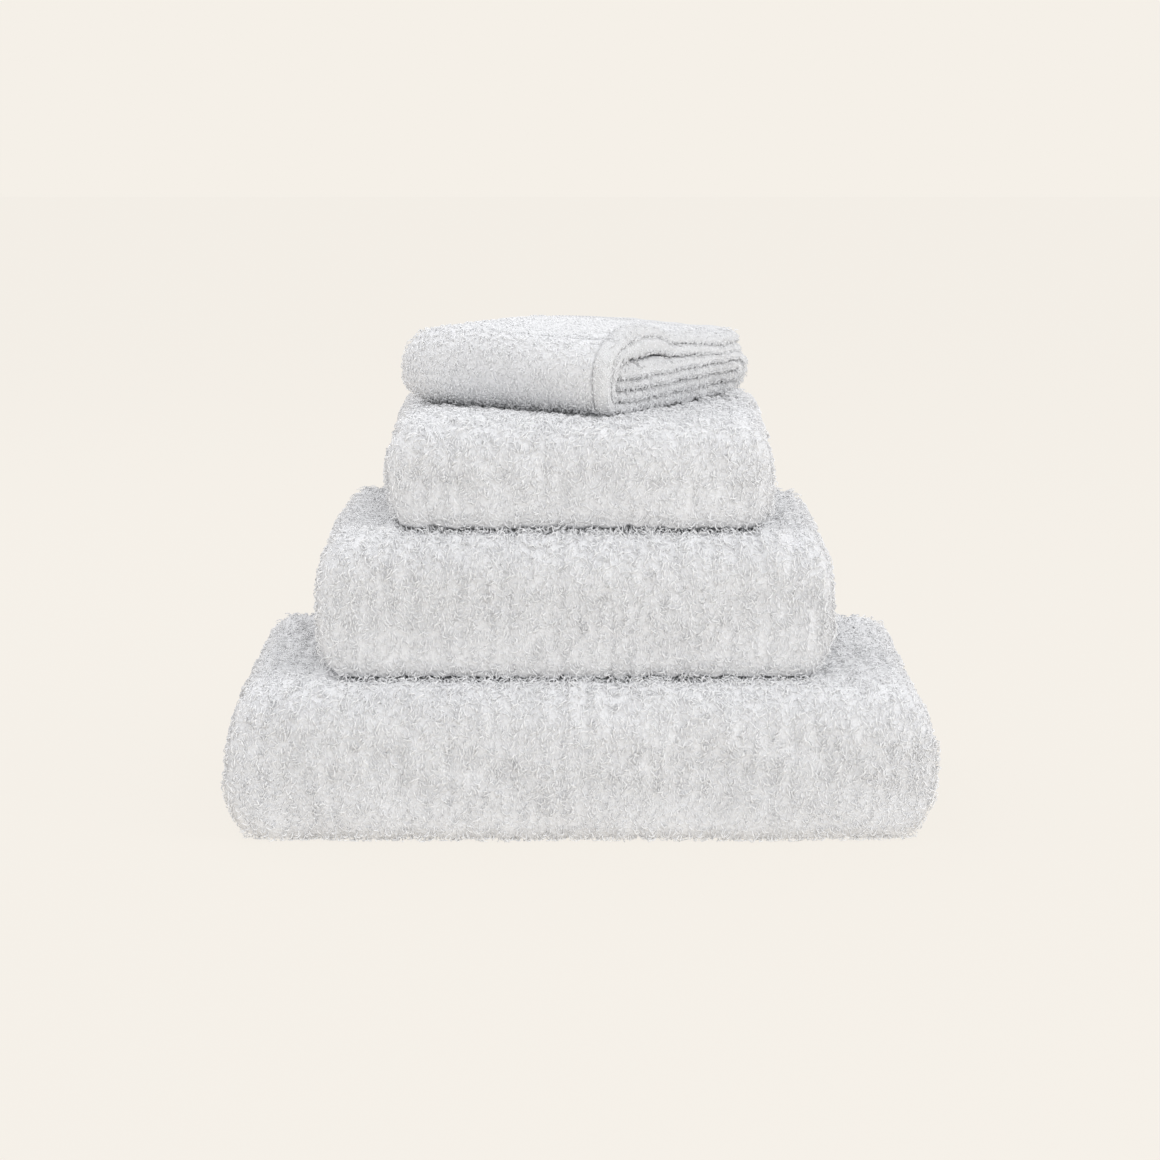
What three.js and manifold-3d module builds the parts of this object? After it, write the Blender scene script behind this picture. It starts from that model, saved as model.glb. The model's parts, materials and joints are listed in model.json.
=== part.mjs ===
// A set of four white terry towels, each folded and stacked on the one below it.
//
// Lengths are in millimetres. +X is to the right, -Y is the front and +Z is up.
//
// Every towel is folded twice. First its width is folded into a strip of two plies: the three lower
// towels have both long edges turned in to meet in the middle, so both their ends are rounded folds,
// and the guest towel is folded in half, so its right end is open and shows its side hems. Then the
// strip is folded along its length. Its centre line is drawn in the YZ plane as straight runs and round
// bends, and the cloth and its side hems are that line given a thickness and carried along X.

import * as THREE from 'three';
import Module from 'manifold-3d';
import { mergeVertices } from 'three/addons/utils/BufferGeometryUtils.js';

const wasm = await Module();
wasm.setup();

// ---------------------------------------------------------------- driving dimensions

const TOWELS = {
  bathSheet: {
    name: 'bath_sheet',
    clothWidth: 990,
    clothLength: 1720,
    ply: 8.6,
    sideFolds: 2,
  },
  bathTowel: {
    name: 'bath_towel',
    clothWidth: 730,
    clothLength: 1440,
    ply: 8,
    sideFolds: 2,
  },
  handTowel: {
    name: 'hand_towel',
    clothWidth: 546,
    clothLength: 950,
    ply: 9.3,
    sideFolds: 2,
  },
  guestTowel: {
    name: 'guest_towel',
    clothWidth: 370,
    clothLength: 550,
    ply: 8.2,
    sideFolds: 1,
  },
};

const SIDE_HEM_WIDTH = 12;
const END_HEM_WIDTH = 22;
const HEM_THICKNESS = 4;

const PLY_GAP = 0.4; // between the two plies of a strip
const LAYER_GAP = 0.6; // between one layer of the folded strip and the next
const HEM_GAP = 0.5; // between the pile cloth and its hems
const EDGE_GAP = 0.6; // between the two long edges where they meet inside a strip
const STACK_GAP = 0.3; // between one towel and the next
const FLAP_GAP = 0.4; // between the two halves of the guest towel's front bend

const FREE_END_INSET = 8; // how far a free end stops short of the back of the fold
const TUCKED_END_INSET = 6; // how far the guest towel's tucked end stops short of the front bend

// Corner radii of the wrapped front, in layers.
const OUTER_CORNER_OF_SIX = 1.75;
const INNER_CORNER_OF_SIX = OUTER_CORNER_OF_SIX - 1;
const OUTER_CORNER_OF_FOUR = 1.25;
const OUTER_CORNER_OF_THREE = 0.9;

// Where each towel lies on the one below: how far its front is behind the lowest towel's front, and
// how far it is shifted to the right.
const BATH_TOWEL_SETBACK = 26;
const BATH_TOWEL_SHIFT = -3;
const HAND_TOWEL_SETBACK = 48;
const HAND_TOWEL_SHIFT = 0;
const GUEST_TOWEL_CORNER_SETBACK = 70;
const GUEST_TOWEL_CORNER_SHIFT = 16;
const GUEST_TOWEL_YAW_DEG = -35;

const BEND_STEP_DEG = 18; // one chord of a round bend
const CUT_BEYOND = 1; // how far a cut runs out past the cloth

const TERRY = { color: 0xf1f1f4, roughness: 0.95, metalness: 0 };
const WOVEN_HEM = { color: 0xebebee, roughness: 0.85, metalness: 0 };

// ---------------------------------------------------------------- the folded centre line

// A line in a plane, built from straight runs and round bends. a and b are the plane's two axes, and
// headings are in degrees from a towards b.
class FoldLine {
  constructor(a, b, heading) {
    this.points = [{ a, b, heading }];
    this.length = 0;
  }

  get start() {
    return this.points[0];
  }

  get end() {
    return this.points[this.points.length - 1];
  }

  run(distance) {
    const { a, b, heading } = this.end;
    const angle = THREE.MathUtils.degToRad(heading);
    this.points.push({
      a: a + distance * Math.cos(angle),
      b: b + distance * Math.sin(angle),
      heading,
    });
    this.length += distance;
    return this;
  }

  runTo(a) {
    return this.run(Math.abs(a - this.end.a));
  }

  bend(radius, degrees) {
    const from = this.end;
    const side = Math.sign(degrees);
    const steps = Math.ceil(Math.abs(degrees) / BEND_STEP_DEG);
    const fromAngle = THREE.MathUtils.degToRad(from.heading);
    const centreA = from.a - side * radius * Math.sin(fromAngle);
    const centreB = from.b + side * radius * Math.cos(fromAngle);
    for (let step = 1; step <= steps; step += 1) {
      const heading = from.heading + (degrees * step) / steps;
      const angle = THREE.MathUtils.degToRad(heading);
      this.points.push({
        a: centreA + side * radius * Math.sin(angle),
        b: centreB - side * radius * Math.cos(angle),
        heading,
      });
    }
    this.length += THREE.MathUtils.degToRad(Math.abs(degrees)) * radius;
    return this;
  }

  // The line moved sideways, to the left of its heading, and carried on past both ends.
  beside(offset, beyond) {
    const last = this.points.length - 1;
    return this.points.map(({ a, b, heading }, index) => {
      const angle = THREE.MathUtils.degToRad(heading);
      const on = (index === last) - (index === 0);
      return new THREE.Vector2(
        a - offset * Math.sin(angle) + on * beyond * Math.cos(angle),
        b + offset * Math.cos(angle) + on * beyond * Math.sin(angle),
      );
    });
  }

  // The outline of a band of the given thickness whose middle lies at the given offset.
  band(offset, thickness, beyond = 0) {
    const left = this.beside(offset + thickness / 2, beyond);
    const right = this.beside(offset - thickness / 2, beyond);
    return [...right, ...left.reverse()];
  }
}

const stripThickness = (towel) => 2 * towel.ply + PLY_GAP;
const layerPitch = (towel) => stripThickness(towel) + LAYER_GAP;
const layerMiddle = (towel, layer) => stripThickness(towel) / 2 + layer * layerPitch(towel);
const foldedHeight = (towel, layers) => layerMiddle(towel, layers - 1) + stripThickness(towel) / 2;
const plyMiddle = (towel) => (towel.ply + PLY_GAP) / 2; // from the strip's middle

// Half the width of the folded strip. Each side fold takes up a little of the cloth.
function edgeOf(towel) {
  return (towel.clothWidth + towel.sideFolds * (2 - Math.PI / 2) * towel.ply) / 4;
}

// The strip folded in thirds and then in half. The middle third wraps the outside, and both free ends
// are inside, at the back. trim shortens both ends by the depth of the end hems.
function thirdsThenHalf(towel, depth, trim) {
  const half = stripThickness(towel) / 2;
  const pitch = layerPitch(towel);
  const outerCorner = OUTER_CORNER_OF_SIX * pitch;
  const innerCorner = INNER_CORNER_OF_SIX * pitch;
  const tuckedEnd = depth - half - pitch;
  const freeEnd = depth - FREE_END_INSET;
  return new FoldLine(tuckedEnd - trim, layerMiddle(towel, 1), 180)
    .runTo(half + pitch + innerCorner)
    .bend(innerCorner, -90)
    .run(3 * pitch - 2 * innerCorner)
    .bend(innerCorner, -90)
    .runTo(depth - half - pitch / 2)
    .bend(pitch / 2, 180)
    .runTo(half + outerCorner)
    .bend(outerCorner, 90)
    .run(5 * pitch - 2 * outerCorner)
    .bend(outerCorner, 90)
    .runTo(depth - half - pitch)
    .bend(pitch, 180)
    .runTo(half + 2.5 * pitch)
    .bend(pitch / 2, -180)
    .runTo(freeEnd - trim);
}

// The strip folded in half and in half again, with one fold at the top of the back and both free ends
// under it.
function halfTwice(towel, depth, trim) {
  const half = stripThickness(towel) / 2;
  const pitch = layerPitch(towel);
  const outerCorner = OUTER_CORNER_OF_FOUR * pitch;
  const freeEnd = depth - FREE_END_INSET;
  return new FoldLine(freeEnd - trim, layerMiddle(towel, 1), 180)
    .runTo(half + 1.5 * pitch)
    .bend(pitch / 2, -180)
    .runTo(depth - half - pitch / 2)
    .bend(pitch / 2, 180)
    .runTo(half + outerCorner)
    .bend(outerCorner, 90)
    .run(3 * pitch - 2 * outerCorner)
    .bend(outerCorner, 90)
    .runTo(freeEnd - trim);
}

// The lower two thirds of the guest towel: the tucked third, the bend at the back, the lowest third
// and the lower half of the front bend.
function guestBase(towel, depth, trim) {
  const half = stripThickness(towel) / 2;
  const pitch = layerPitch(towel);
  const corner = OUTER_CORNER_OF_THREE * pitch;
  const tuckedEnd = 2 * half + TUCKED_END_INSET;
  return new FoldLine(tuckedEnd + trim, layerMiddle(towel, 1), 0)
    .runTo(depth - half - pitch / 2)
    .bend(pitch / 2, -180)
    .runTo(half + corner)
    .bend(corner, -90)
    .run(pitch - corner - FLAP_GAP / 2);
}

// The upper half of the guest towel's front bend, and the third that lies on top.
function guestFlap(towel, depth, trim) {
  const half = stripThickness(towel) / 2;
  const pitch = layerPitch(towel);
  const corner = OUTER_CORNER_OF_THREE * pitch;
  return new FoldLine(half, layerMiddle(towel, 1) + FLAP_GAP / 2, 90)
    .run(pitch - corner - FLAP_GAP / 2)
    .bend(corner, -90)
    .runTo(depth - FREE_END_INSET - trim);
}

// The depth at which the folded line is as long as the cloth. Each panel grows with the depth.
function depthOfFold(towel, panels, folds) {
  const trialDepth = towel.clothLength / panels;
  const trialLength = folds.reduce((sum, fold) => sum + fold(towel, trialDepth, 0).length, 0);
  return trialDepth + (towel.clothLength - trialLength) / panels;
}

// ---------------------------------------------------------------- solids

const AXIS_X = new THREE.Vector3(1, 0, 0);
const AXIS_Y = new THREE.Vector3(0, 1, 0);
const AXIS_Z = new THREE.Vector3(0, 0, 1);

function extrude(outline, depth) {
  const options = { depth, bevelEnabled: false, steps: 1 };
  return new THREE.ExtrudeGeometry(new THREE.Shape(outline), options);
}

// A YZ outline carried along X.
function extrudeAlongX(outline, left, right) {
  const geometry = extrude(outline, right - left);
  geometry.applyMatrix4(new THREE.Matrix4().makeBasis(AXIS_Y, AXIS_Z, AXIS_X));
  return geometry.translate(left, 0, 0);
}

// An XZ outline carried along Y.
function extrudeAlongY(outline, front, back) {
  const geometry = extrude(outline, back - front);
  geometry.applyMatrix4(new THREE.Matrix4().makeBasis(AXIS_X, AXIS_Z, AXIS_Y.clone().negate()));
  return geometry.translate(0, back, 0);
}

function toManifold(geometry) {
  const bare = geometry.clone();
  bare.deleteAttribute('normal');
  bare.deleteAttribute('uv');
  const merged = mergeVertices(bare);
  const vertProperties = new Float32Array(merged.attributes.position.array);
  const triVerts = new Uint32Array(merged.index.array);
  return new wasm.Manifold(new wasm.Mesh({ numProp: 3, vertProperties, triVerts }));
}

function toGeometry(manifold) {
  const { vertProperties, triVerts } = manifold.getMesh();
  const geometry = new THREE.BufferGeometry();
  geometry.setAttribute('position', new THREE.BufferAttribute(vertProperties, 3));
  geometry.setIndex(new THREE.BufferAttribute(triVerts, 1));
  return geometry;
}

// The strip's cross-section: the middle of its plies, from one long edge of the cloth to the other. The
// guest towel's starts and ends at the open right end. The others' start and end inside, in the middle.
function acrossStrip(towel) {
  const edge = edgeOf(towel);
  const middle = plyMiddle(towel);
  const bendCentre = edge - middle - towel.ply / 2;
  if (towel.sideFolds === 1) {
    return new FoldLine(edge, middle, 180).runTo(-bendCentre).bend(middle, 180).runTo(edge);
  }
  return new FoldLine(EDGE_GAP / 2, middle, 0)
    .runTo(bendCentre)
    .bend(middle, -180)
    .runTo(-bendCentre)
    .bend(middle, -180)
    .runTo(-EDGE_GAP / 2);
}

// Where the two side hems lie across the strip, and on which ply: 1 is the one to the left of the fold
// line, which is the inner one where the line wraps the outside.
function hemPlaces(towel) {
  const edge = edgeOf(towel);
  if (towel.sideFolds === 1) {
    return [
      { left: edge - SIDE_HEM_WIDTH, right: edge, ply: 1 },
      { left: edge - SIDE_HEM_WIDTH, right: edge, ply: -1 },
    ];
  }
  const inner = EDGE_GAP / 2;
  return [
    { left: inner, right: inner + SIDE_HEM_WIDTH, ply: 1 },
    { left: -inner - SIDE_HEM_WIDTH, right: -inner, ply: 1 },
  ];
}

// The pile cloth of one folded line: the whole strip, slit between its plies, less the room for its two
// side hems.
function pileCloth(towel, line) {
  const edge = edgeOf(towel);
  const slitEnd = towel.sideFolds === 1 ? edge + CUT_BEYOND : edge - towel.ply;
  const slitOutline = line.band(0, PLY_GAP, CUT_BEYOND);
  let cloth = toManifold(extrudeAlongX(line.band(0, stripThickness(towel)), -edge, edge));
  cloth = cloth.subtract(toManifold(extrudeAlongX(slitOutline, -edge + towel.ply, slitEnd)));
  const cutThickness = towel.ply + PLY_GAP / 2 + LAYER_GAP / 4;
  for (const { left, right, ply } of hemPlaces(towel)) {
    const cutOutline = line.band((ply * cutThickness) / 2, cutThickness, CUT_BEYOND);
    const cut = extrudeAlongX(cutOutline, left - HEM_GAP, right + HEM_GAP);
    cloth = cloth.subtract(toManifold(cut));
  }
  return toGeometry(cloth);
}

// A side hem: a narrow woven band along one long edge of the cloth, through every bend of the fold.
function sideHem(towel, line, { left, right, ply }) {
  return extrudeAlongX(line.band(ply * plyMiddle(towel), HEM_THICKNESS), left, right);
}

// An end hem: a woven band across both plies at a free end. upward is 1 where the left of the fold line
// is up, and -1 where it is down.
function endHem(towel, z, front, back, upward) {
  const outline = acrossStrip(towel).band(0, HEM_THICKNESS);
  const turned = outline.map((point) => new THREE.Vector2(point.x, upward * point.y));
  return extrudeAlongY(turned, front, back).translate(0, 0, z);
}

// ---------------------------------------------------------------- sub-parts

function addPiece(group, name, geometry, finish) {
  const piece = new THREE.Mesh(geometry, new THREE.MeshStandardMaterial(finish));
  piece.name = name;
  group.add(piece);
}

// The pile cloth and the two side hems of one folded line. prefix starts the pieces' names.
function addClothAndSideHems(group, towel, prefix, line) {
  const [hemA, hemB] = hemPlaces(towel);
  addPiece(group, `${prefix}_cloth`, pileCloth(towel, line), TERRY);
  addPiece(group, `${prefix}_side_hem_a`, sideHem(towel, line, hemA), WOVEN_HEM);
  addPiece(group, `${prefix}_side_hem_b`, sideHem(towel, line, hemB), WOVEN_HEM);
}

// An end hem that carries on from the trimmed end of a line. outward is 1 where the free end faces the
// back, and -1 where it faces the front.
function addEndHem(group, towel, name, point, outward) {
  const near = point.a + outward * HEM_GAP;
  const far = point.a + outward * (HEM_GAP + END_HEM_WIDTH);
  const upward = Math.round(Math.cos(THREE.MathUtils.degToRad(point.heading)));
  const hem = endHem(towel, point.b, Math.min(near, far), Math.max(near, far), upward);
  addPiece(group, name, hem, WOVEN_HEM);
}

const END_TRIM = END_HEM_WIDTH + HEM_GAP;
const SIX_LAYERS = 6;
const FOUR_LAYERS = 4;
const THREE_LAYERS = 3;

// A whole towel in one body: fold draws its line, and layers is how many times the strip lies over
// itself.
function foldedTowel(towel, fold, layers) {
  const group = new THREE.Group();
  const depth = depthOfFold(towel, layers, [fold]);
  const line = fold(towel, depth, END_TRIM);
  addClothAndSideHems(group, towel, towel.name, line);
  addEndHem(group, towel, `${towel.name}_end_hem_a`, line.start, 1);
  addEndHem(group, towel, `${towel.name}_end_hem_b`, line.end, 1);
  return group;
}

// The guest towel is in two bodies, because its top third opens like a page.
function foldedGuestTowel(towel) {
  const group = new THREE.Group();
  const depth = depthOfFold(towel, THREE_LAYERS, [guestBase, guestFlap]);
  const base = guestBase(towel, depth, END_TRIM);
  const flap = guestFlap(towel, depth, END_TRIM);
  addClothAndSideHems(group, towel, `${towel.name}_base`, base);
  addEndHem(group, towel, `${towel.name}_base_end_hem`, base.start, -1);
  addClothAndSideHems(group, towel, `${towel.name}_flap`, flap);
  addEndHem(group, towel, `${towel.name}_flap_end_hem`, flap.end, 1);
  return group;
}

// ---------------------------------------------------------------- the stack

const bathSheet = foldedTowel(TOWELS.bathSheet, thirdsThenHalf, SIX_LAYERS);
const bathTowel = foldedTowel(TOWELS.bathTowel, thirdsThenHalf, SIX_LAYERS);
const handTowel = foldedTowel(TOWELS.handTowel, halfTwice, FOUR_LAYERS);
const guestTowel = foldedGuestTowel(TOWELS.guestTowel);

const bathTowelBase = foldedHeight(TOWELS.bathSheet, SIX_LAYERS) + STACK_GAP;
const handTowelBase = bathTowelBase + foldedHeight(TOWELS.bathTowel, SIX_LAYERS) + STACK_GAP;
const guestTowelBase = handTowelBase + foldedHeight(TOWELS.handTowel, FOUR_LAYERS) + STACK_GAP;

bathTowel.position.set(BATH_TOWEL_SHIFT, BATH_TOWEL_SETBACK, bathTowelBase);
handTowel.position.set(HAND_TOWEL_SHIFT, HAND_TOWEL_SETBACK, handTowelBase);

// The guest towel turns about its right front corner.
const guestTurn = new THREE.Group();
guestTowel.position.set(-edgeOf(TOWELS.guestTowel), 0, 0);
guestTurn.add(guestTowel);
guestTurn.rotation.z = THREE.MathUtils.degToRad(GUEST_TOWEL_YAW_DEG);
guestTurn.position.set(GUEST_TOWEL_CORNER_SHIFT, GUEST_TOWEL_CORNER_SETBACK, guestTowelBase);

const stack = new THREE.Group();
stack.add(bathSheet, bathTowel, handTowel, guestTurn);

// The origin is at the middle of the whole set's footprint, on the surface that it stands on.
stack.updateMatrixWorld(true);
const footprint = new THREE.Box3().setFromObject(stack, true);
stack.position.x = -(footprint.min.x + footprint.max.x) / 2;
stack.position.y = -(footprint.min.y + footprint.max.y) / 2;

const towelSet = new THREE.Group();
towelSet.add(stack);

export default towelSet;
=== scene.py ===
"""A stack of four folded white terry towels: folded cloth, looped pile, woven hems and their stitches.

Lengths are in metres. +X is to the right, -Y is the front and +Z is up. Every towel is a flat cloth
with coordinates u across its width, v along its length and w through its thickness. One function
folds that cloth into the stack, and the cloth, the pile, the hems and the stitches all go through it.
"""

import json
import math

import bpy
import numpy as np
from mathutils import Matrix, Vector


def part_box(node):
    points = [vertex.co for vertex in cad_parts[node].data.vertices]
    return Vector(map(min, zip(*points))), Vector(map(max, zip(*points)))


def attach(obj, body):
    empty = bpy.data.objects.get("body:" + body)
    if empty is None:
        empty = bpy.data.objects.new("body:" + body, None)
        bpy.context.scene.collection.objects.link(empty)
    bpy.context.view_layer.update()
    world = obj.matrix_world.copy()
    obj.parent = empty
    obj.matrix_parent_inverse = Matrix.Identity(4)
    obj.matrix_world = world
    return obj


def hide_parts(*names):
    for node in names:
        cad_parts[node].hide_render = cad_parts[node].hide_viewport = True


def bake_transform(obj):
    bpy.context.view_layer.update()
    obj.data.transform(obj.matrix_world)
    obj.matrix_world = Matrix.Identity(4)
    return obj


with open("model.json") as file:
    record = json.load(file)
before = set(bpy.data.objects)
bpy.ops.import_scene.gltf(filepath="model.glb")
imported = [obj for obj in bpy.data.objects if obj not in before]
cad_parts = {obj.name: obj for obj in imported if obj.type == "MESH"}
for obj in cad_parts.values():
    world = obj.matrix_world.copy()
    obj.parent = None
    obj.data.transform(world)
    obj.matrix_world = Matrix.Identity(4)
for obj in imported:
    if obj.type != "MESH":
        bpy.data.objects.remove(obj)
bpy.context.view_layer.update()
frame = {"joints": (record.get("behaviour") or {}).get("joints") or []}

MM = 0.001

# ------------------------------------------------------------------ the cloths

SIDE_HEM = 12 * MM
END_HEM = 22 * MM
HEM_THICKNESS = 4 * MM
PLY_GAP = 0.4 * MM
LAYER_GAP = 0.6 * MM
HEM_GAP = 0.5 * MM
EDGE_GAP = 0.6 * MM
FREE_END_INSET = 8 * MM
TUCKED_END_INSET = 6 * MM

CORNER_OF_LAYERS = {6: 1.75, 4: 1.25, 3: 0.9}  # radius of the wrapped front, in layers

# How square the lower and upper corners of the wrapped front are: 2 is round.
PRESSED_CORNERS = (18.0, 2.4)
LOOSE_CORNERS = (2.2, 2.0)

BOTTOM_PRESS = 1.3 * MM  # the lowest pile is flattened by the weight on it
PRESSED_FLAT = 2.0 * MM
PRESSED_LEAST = 0.3 * MM
PRESSED_INSIDE = 8 * MM  # how far behind the front of the towel above a top starts to swell
RISE_WIDTH = 8 * MM  # how far outside the towel above a top swells up to its full height

# How far each towel settles away from its exact fold. Sway is slow, and buckle is quick.
SIDE_SWAY = 2.5 * MM
SIDE_BUCKLE = 1.5 * MM
FRONT_SWAY = 2 * MM
FRONT_BUCKLE = 2.2 * MM
BACK_BUCKLE = 3 * MM
HEIGHT_SWAY = 1.6 * MM
TOP_BUCKLE = 0.8 * MM
FRONT_ROUNDING = 7 * MM  # how far the front draws back at its two ends
SHOULDER_DROP = 5 * MM  # how far the top falls at its two ends
SWAY_WAVE = 230 * MM
BUCKLE_WAVE = 90 * MM
LAYER_WAVE_LENGTH = 45 * MM
RIDGE_WAVE = 12 * MM
RIDGE_STRETCH = 2.5  # how much longer than wide the ridges in the pile are

# How the guest towel's loose end hangs.
GAPE = 12 * MM
GAPE_AT = 0.30  # share of the depth, from the front
GAPE_SPREAD = 0.20
FLAP_DROOP = 4 * MM
LAYER_WAVE = 1.6 * MM
FOLDED_END_PUFF = 5 * MM
END_LIFT = 4 * MM

GROUND_SHARE = 0.62  # how much of a ply's thickness is the ground cloth; the rest is pile


# ------------------------------------------------------------------ the folded centre line


class FoldLine:
    """A line in a plane, made of straight runs and round bends, that can be asked for any point."""

    def __init__(self, a, b, heading):
        self.parts = []
        self.end = (a, b, math.radians(heading))
        self.length = 0.0

    def run(self, distance):
        a, b, angle = self.end
        self.parts.append((self.length, distance, 0.0, self.end))
        self.end = (a + distance * math.cos(angle), b + distance * math.sin(angle), angle)
        self.length += distance
        return self

    def run_to(self, a):
        return self.run(abs(a - self.end[0]))

    def bend(self, radius, degrees):
        a, b, angle = self.end
        turn = math.radians(degrees)
        curve = math.copysign(1 / radius, turn)
        distance = abs(turn) * radius
        self.parts.append((self.length, distance, curve, self.end))
        self.end = (
            a + (math.sin(angle + turn) - math.sin(angle)) / curve,
            b - (math.cos(angle + turn) - math.cos(angle)) / curve,
            angle + turn,
        )
        self.length += distance
        return self

    def at(self, s):
        """Points and headings at the distances s, carried straight on past both ends."""
        s = np.asarray(s, float)
        a, b, angle = (np.empty_like(s) for _ in range(3))
        for index, (start, distance, curve, (a0, b0, angle0)) in enumerate(self.parts):
            here = s >= start if index else np.ones(s.shape, bool)
            t = s[here] - start
            if curve:
                t = np.minimum(t, distance)
                turned = angle0 + curve * t
                a[here] = a0 + (np.sin(turned) - math.sin(angle0)) / curve
                b[here] = b0 - (np.cos(turned) - math.cos(angle0)) / curve
                angle[here] = turned
            else:
                a[here] = a0 + t * math.cos(angle0)
                b[here] = b0 + t * math.sin(angle0)
                angle[here] = angle0
        return a, b, angle


def layer_middle(towel, layer):
    return towel.strip / 2 + layer * towel.pitch


def thirds_then_half(towel, depth):
    """The strip folded in thirds and then in half, its middle third outside."""
    half = towel.strip / 2
    pitch = towel.pitch
    outer = CORNER_OF_LAYERS[6] * pitch
    inner = outer - pitch
    line = FoldLine(depth - half - pitch, layer_middle(towel, 1), 180)
    line.run_to(half + pitch + inner).bend(inner, -90).run(3 * pitch - 2 * inner).bend(inner, -90)
    line.run_to(depth - half - pitch / 2).bend(pitch / 2, 180)
    line.run_to(half + outer).bend(outer, 90).run(5 * pitch - 2 * outer).bend(outer, 90)
    line.run_to(depth - half - pitch).bend(pitch, 180)
    line.run_to(half + 2.5 * pitch).bend(pitch / 2, -180)
    return line.run_to(depth - FREE_END_INSET)


def half_twice(towel, depth):
    """The strip folded in half and in half again, its free ends at the bottom of the back."""
    half = towel.strip / 2
    pitch = towel.pitch
    outer = CORNER_OF_LAYERS[4] * pitch
    line = FoldLine(depth - FREE_END_INSET, layer_middle(towel, 1), 180)
    line.run_to(half + 1.5 * pitch).bend(pitch / 2, -180)
    line.run_to(depth - half - pitch / 2).bend(pitch / 2, 180)
    line.run_to(half + outer).bend(outer, 90).run(3 * pitch - 2 * outer).bend(outer, 90)
    return line.run_to(depth - FREE_END_INSET)


def tucked_thirds(towel, depth):
    """The strip folded in thirds: one third tucked inside, and the last one over the top."""
    half = towel.strip / 2
    pitch = towel.pitch
    corner = CORNER_OF_LAYERS[3] * pitch
    line = FoldLine(2 * half + TUCKED_END_INSET, layer_middle(towel, 1), 0)
    line.run_to(depth - half - pitch / 2).bend(pitch / 2, -180)
    line.run_to(half + corner).bend(corner, -90)
    towel.bend_start = line.length - corner * math.pi / 2
    line.run(2 * (pitch - corner)).bend(corner, -90)
    towel.bend_end = line.length
    return line.run_to(depth - FREE_END_INSET)


# ------------------------------------------------------------------ smooth randomness


class Ripple:
    """A smooth random field from -1 to 1: a sum of plane waves of about the given wavelength."""

    def __init__(self, seed, wavelength, waves=7):
        rng = np.random.default_rng(seed)
        direction = rng.normal(size=(waves, 3))
        direction /= np.linalg.norm(direction, axis=1, keepdims=True)
        self.k = direction * (2 * math.pi / wavelength) * rng.uniform(0.7, 1.4, (waves, 1))
        self.phase = rng.uniform(0, 2 * math.pi, waves)
        self.scale = 1.6 / waves

    def __call__(self, points):
        value = np.zeros(points.shape[:-1])
        for k, phase in zip(self.k, self.phase):
            value += np.sin(points @ k + phase)
        return np.clip(value * self.scale, -1, 1)


def smooth(t):
    t = np.clip(t, 0, 1)
    return t * t * (3 - 2 * t)


def pressed(height):
    """Heights above a surface, with whatever lies lowest flattened on it rather than through it."""
    low = PRESSED_FLAT - PRESSED_LEAST
    flat = PRESSED_LEAST + low * np.exp(np.minimum(height - PRESSED_FLAT, 0) / low)
    return np.where(height < PRESSED_FLAT, flat, height)


# ------------------------------------------------------------------ a folded towel


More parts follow.
